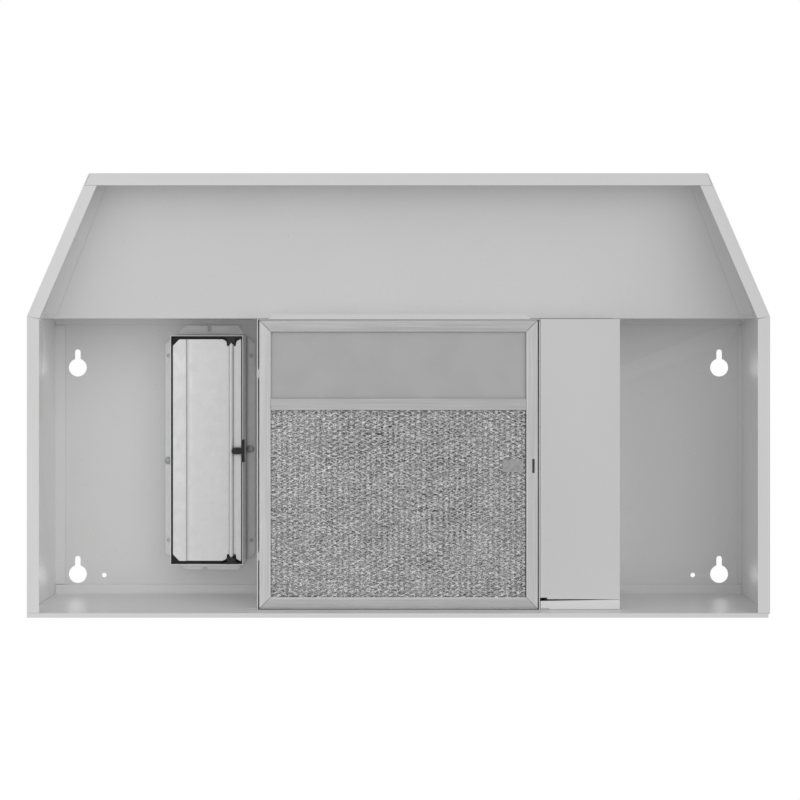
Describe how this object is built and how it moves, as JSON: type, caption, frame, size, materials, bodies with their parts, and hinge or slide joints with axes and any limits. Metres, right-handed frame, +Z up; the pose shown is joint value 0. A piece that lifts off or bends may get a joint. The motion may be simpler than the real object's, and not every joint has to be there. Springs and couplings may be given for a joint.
{
  "type": "under cabinet range hood",
  "caption": "Painted sheet steel range hood with mitred front corners, swing-down filter with lamp lens, axial fan, rocker switches and a stored duct connector.",
  "frame": {"origin": "on the top outer face, at the middle of the pattern of the four mounting keyholes", "axes": "+Z up through the top face, -Y towards the front lip, +X towards the wiring box"},
  "size_m": [0.762, 0.4558, 0.1524],
  "materials": {
    "white_paint": "semi-gloss baked enamel on sheet steel",
    "galvanized_steel": "bright rolled galvanized sheet",
    "plated_steel": "zinc plated",
    "filter_aluminium": "satin rolled aluminium",
    "mesh_aluminium": "layered expanded aluminium mesh",
    "lens_plastic": "frosted translucent acrylic",
    "black_plastic": "moulded",
    "switch_plastic": "moulded",
    "porcelain": "glazed lamp holder",
    "bulb_glass": "inside-frosted",
    "connector_plastic": "moulded twist-on connector",
    "motor_iron": "laminated iron",
    "copper_brass": "sintered bearing bronze"
  },
  "bodies": {
    "hood": {"top_panel": "white_paint", "front_canopy": "white_paint", "left_side_panel": "white_paint", "right_side_panel": "white_paint", "back_panel": "white_paint", "fan_housing": "white_paint", "lamp_partition": "white_paint", "wiring_cover": "white_paint", "wiring_ledge": "white_paint", "fan_shroud": "galvanized_steel", "motor_bracket": "galvanized_steel", "socket_bracket": "galvanized_steel", "duct_collar": "galvanized_steel", "motor_can": "plated_steel", "motor_cap": "plated_steel", "bracket_screw_left": "plated_steel", "bracket_screw_right": "plated_steel", "filter_catch": "plated_steel", "duct_screw_left": "plated_steel", "duct_screw_right": "plated_steel", "motor_stator": "motor_iron", "upper_bearing": "copper_brass", "lower_bearing": "copper_brass", "lamp_reflector": "filter_aluminium", "bulb_base": "filter_aluminium", "lamp_socket": "porcelain", "bulb_glass": "bulb_glass", "fan_switch_body": "switch_plastic", "light_switch_body": "switch_plastic", "wire_connector_live": "connector_plastic", "wire_connector_neutral": "connector_plastic", "wire_grommet": "black_plastic", "motor_lead": "black_plastic", "lamp_lead": "black_plastic", "pivot_bush_front": "black_plastic", "pivot_bush_rear": "black_plastic", "flap_seal": "black_plastic", "flap_stop": "black_plastic"},
    "fan": {"motor_rotor": "motor_iron", "motor_shaft": "plated_steel", "fan_hub": "filter_aluminium", "fan_blade": "filter_aluminium", "blade_nut": "plated_steel"},
    "filter": {"filter_frame": "filter_aluminium", "filter_mesh": "mesh_aluminium", "light_lens": "lens_plastic", "filter_divider": "filter_aluminium"},
    "flap": {"damper_flap": "galvanized_steel", "flap_shaft": "plated_steel"},
    "fan_switch": {"fan_rocker": "switch_plastic"},
    "light_switch": {"light_rocker": "switch_plastic"}
  },
  "joints": [
    {"name": "fan_spin", "type": "hinge", "parent": "hood", "child": "fan", "pos_m": [0, 0.01105, -0.0828], "axis": [0, 0, 1], "continuous": true},
    {"name": "filter_swing", "type": "hinge", "parent": "hood", "child": "filter", "pos_m": [-0.1449, -0.01455, -0.1274], "axis": [0, 1, 0], "range_deg": [0, 75]},
    {"name": "damper_swing", "type": "hinge", "parent": "hood", "child": "flap", "pos_m": [-0.1812, -0.02455, -0.0424], "axis": [0, -1, 0], "range_deg": [0, 75]},
    {"name": "fan_switch_tilt", "type": "hinge", "parent": "hood", "child": "fan_switch", "pos_m": [0.172, -0.16555, -0.0404], "axis": [0, 0, 1], "range_deg": [-8, 8]},
    {"name": "light_switch_tilt", "type": "hinge", "parent": "hood", "child": "light_switch", "pos_m": [0.208, -0.16555, -0.0404], "axis": [0, 0, 1], "range_deg": [0, 16]}
  ]
}
